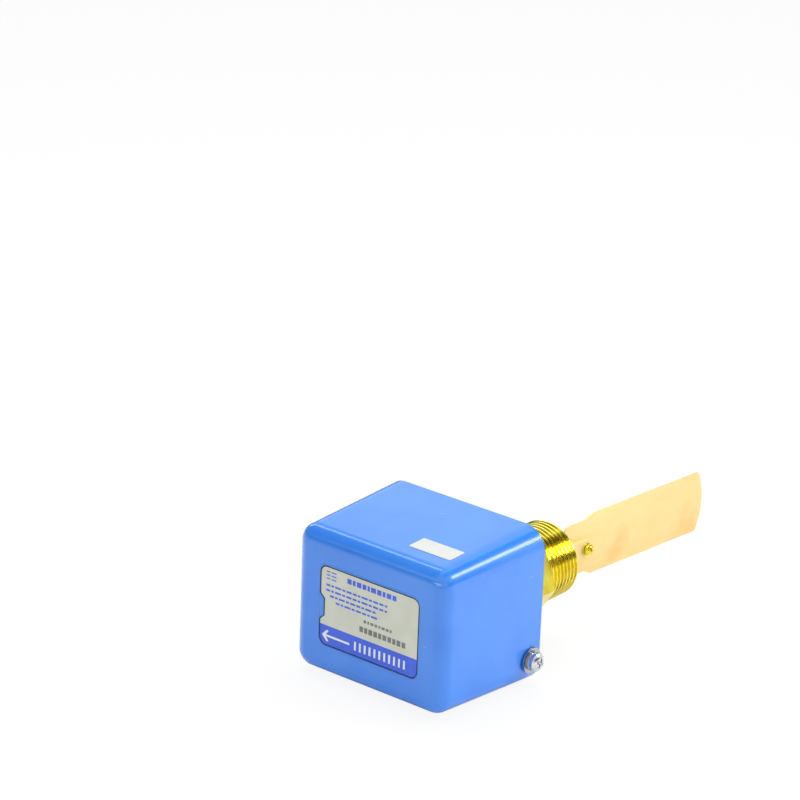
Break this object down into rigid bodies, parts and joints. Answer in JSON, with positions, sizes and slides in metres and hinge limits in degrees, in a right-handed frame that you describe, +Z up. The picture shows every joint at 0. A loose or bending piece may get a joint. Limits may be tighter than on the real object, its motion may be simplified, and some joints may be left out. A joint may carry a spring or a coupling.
{
  "type": "paddle flow switch",
  "caption": "Paddle flow switch: blue drawn-steel housing with snap switch and adjustment inside, brass hex body with pipe thread, sealed lever and thin bronze paddle that swings in the flow.",
  "frame": {"origin": "thread axis at the shoulder between the hexagon and the pipe thread", "axes": "+Y along the thread axis out of the housing to the paddle, -X the flow direction, +Z up as the switch lies on the side of its cover"},
  "size_m": [0.0934, 0.2002, 0.0676],
  "materials": {
    "cover_paint": "glossy blue enamel on drawn steel",
    "label_print": "satin cream print on thin sheet",
    "sticker_paper": "blank white paper",
    "body_brass": "bright turned brass",
    "gasket_fibre": "red-brown vulcanised fibre",
    "plated_steel": "zinc-plated sheet steel",
    "nut_brass": "turned brass",
    "bellows_bronze": "drawn phosphor bronze",
    "bracket_steel": "zinc-plated pressed steel",
    "pin_steel": "ground stainless steel",
    "rocker_steel": "plated steel",
    "lever_brass": "drawn brass, satin",
    "paddle_bronze": "pale phosphor-bronze sheet, satin",
    "paddle_fastener": "bright brass",
    "switch_phenolic": "moulded black phenolic",
    "plunger_plastic": "red-brown moulded plastic",
    "terminal_brass": "stamped brass",
    "zinc_screws": "bright zinc-plated steel",
    "nut_steel": "zinc-plated steel",
    "spring_steel": "oiled spring steel",
    "grommet_rubber": "black rubber",
    "ground_green": "green dyed steel screw",
    "cup_washer": "stamped brass cup"
  },
  "bodies": {
    "housing": {"brass_body": "body_brass", "body_gasket": "gasket_fibre", "lock_washer": "plated_steel", "lock_nut": "nut_brass", "bellows_seat_ring": "nut_brass", "base_pan": "plated_steel", "weld_nuts": "plated_steel", "pivot_bracket": "bracket_steel", "pivot_pin": "pin_steel", "pin_clips": "pin_steel", "switch_bracket": "bracket_steel", "switch_bracket_screws": "zinc_screws", "switch_case": "switch_phenolic", "switch_screws": "zinc_screws", "switch_nuts": "zinc_screws", "terminal_plates": "terminal_brass", "terminal_screws": "zinc_screws", "range_bracket": "bracket_steel", "range_bracket_screws": "zinc_screws", "cable_grommet": "grommet_rubber", "ground_cup_washer": "cup_washer", "ground_screw": "ground_green", "cover_screws": "zinc_screws", "cover_spring_washers": "zinc_screws", "cover_flat_washers": "zinc_screws"},
    "lever": {"rocker": "rocker_steel", "lever_rod": "lever_brass", "bellows": "bellows_bronze", "bellows_cap": "nut_brass", "paddle": "paddle_bronze", "paddle_clamp_plate": "lever_brass", "paddle_nut": "lever_brass", "paddle_spring_washer": "paddle_fastener", "paddle_screw": "paddle_fastener", "range_spring": "spring_steel"},
    "cover_shell": {"cover": "cover_paint", "nameplate": "label_print", "blank_sticker": "sticker_paper"},
    "plunger": {"switch_plunger": "plunger_plastic"},
    "adjuster": {"range_screw": "zinc_screws"},
    "spring_seat": {"range_nut": "nut_steel"}
  },
  "joints": [
    {"name": "paddle_swing", "type": "hinge", "parent": "housing", "child": "lever", "pos_m": [0, -0.0374, 0], "axis": [0, 0, 1], "range_deg": [0, 7], "stiffness_Nm_per_rad": 0.4, "springref_deg": -8.59, "deforming": ["bellows", "range_spring"]},
    {"name": "plunger_slide", "type": "slide", "parent": "housing", "child": "plunger", "axis": [1, 0, 0], "range_m": [0, 0.0024]},
    {"name": "cover_slide", "type": "slide", "parent": "housing", "child": "cover_shell", "axis": [0, -1, 0], "range_m": [0, 0.065]},
    {"name": "range_nut_slide", "type": "slide", "parent": "housing", "child": "spring_seat", "axis": [-1, 0, 0], "range_m": [0, 0.003], "deforming": ["range_spring"]},
    {"name": "range_screw_turn", "type": "hinge", "parent": "housing", "child": "adjuster", "pos_m": [0.0216, -0.0504, 0], "axis": [1, 0, 0], "range_deg": [0, 1351]}
  ],
  "couplings": [
    {"joint": "plunger_slide", "follows": "paddle_swing", "m_per_rad": 0.0194},
    {"joint": "range_screw_turn", "follows": "range_nut_slide", "rad_per_m": 7854}
  ]
}
